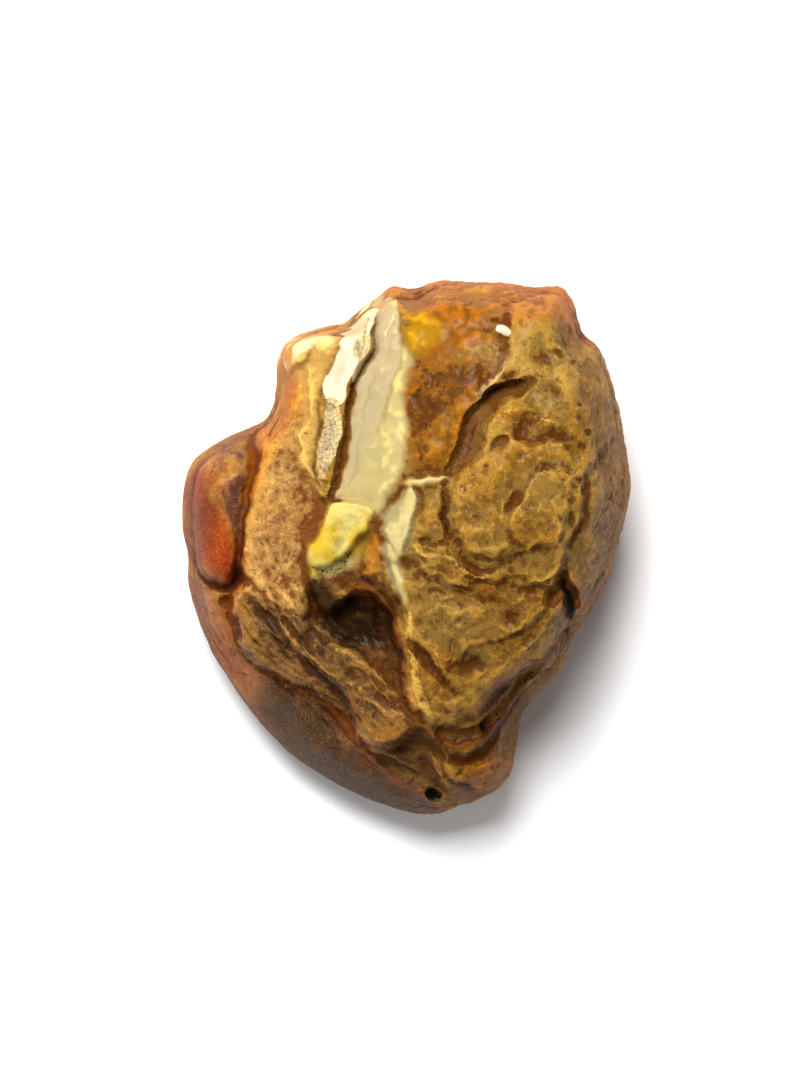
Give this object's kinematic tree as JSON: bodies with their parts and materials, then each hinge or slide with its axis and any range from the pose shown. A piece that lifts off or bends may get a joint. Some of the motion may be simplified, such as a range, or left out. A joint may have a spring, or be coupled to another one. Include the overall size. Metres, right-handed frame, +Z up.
{
  "type": "amber nugget",
  "caption": "Raw nugget of Baltic amber with an ochre weathered crust, honey and plum patches, a pale fresh break and folded flow ledges.",
  "frame": {"origin": "on the floor, under the middle of the nugget's bounding box", "axes": "+Z up from the flat spot it rests on; +Y along its length, towards the broad end with the pinkish cap; +X across it, towards the smooth domed side"},
  "size_m": [0.062, 0.074, 0.036],
  "materials": {
    "weathered_amber": "fossil resin with a wet-looking weathered crust"
  },
  "bodies": {
    "root": {"amber_nugget": "weathered_amber"}
  },
  "joints": []
}
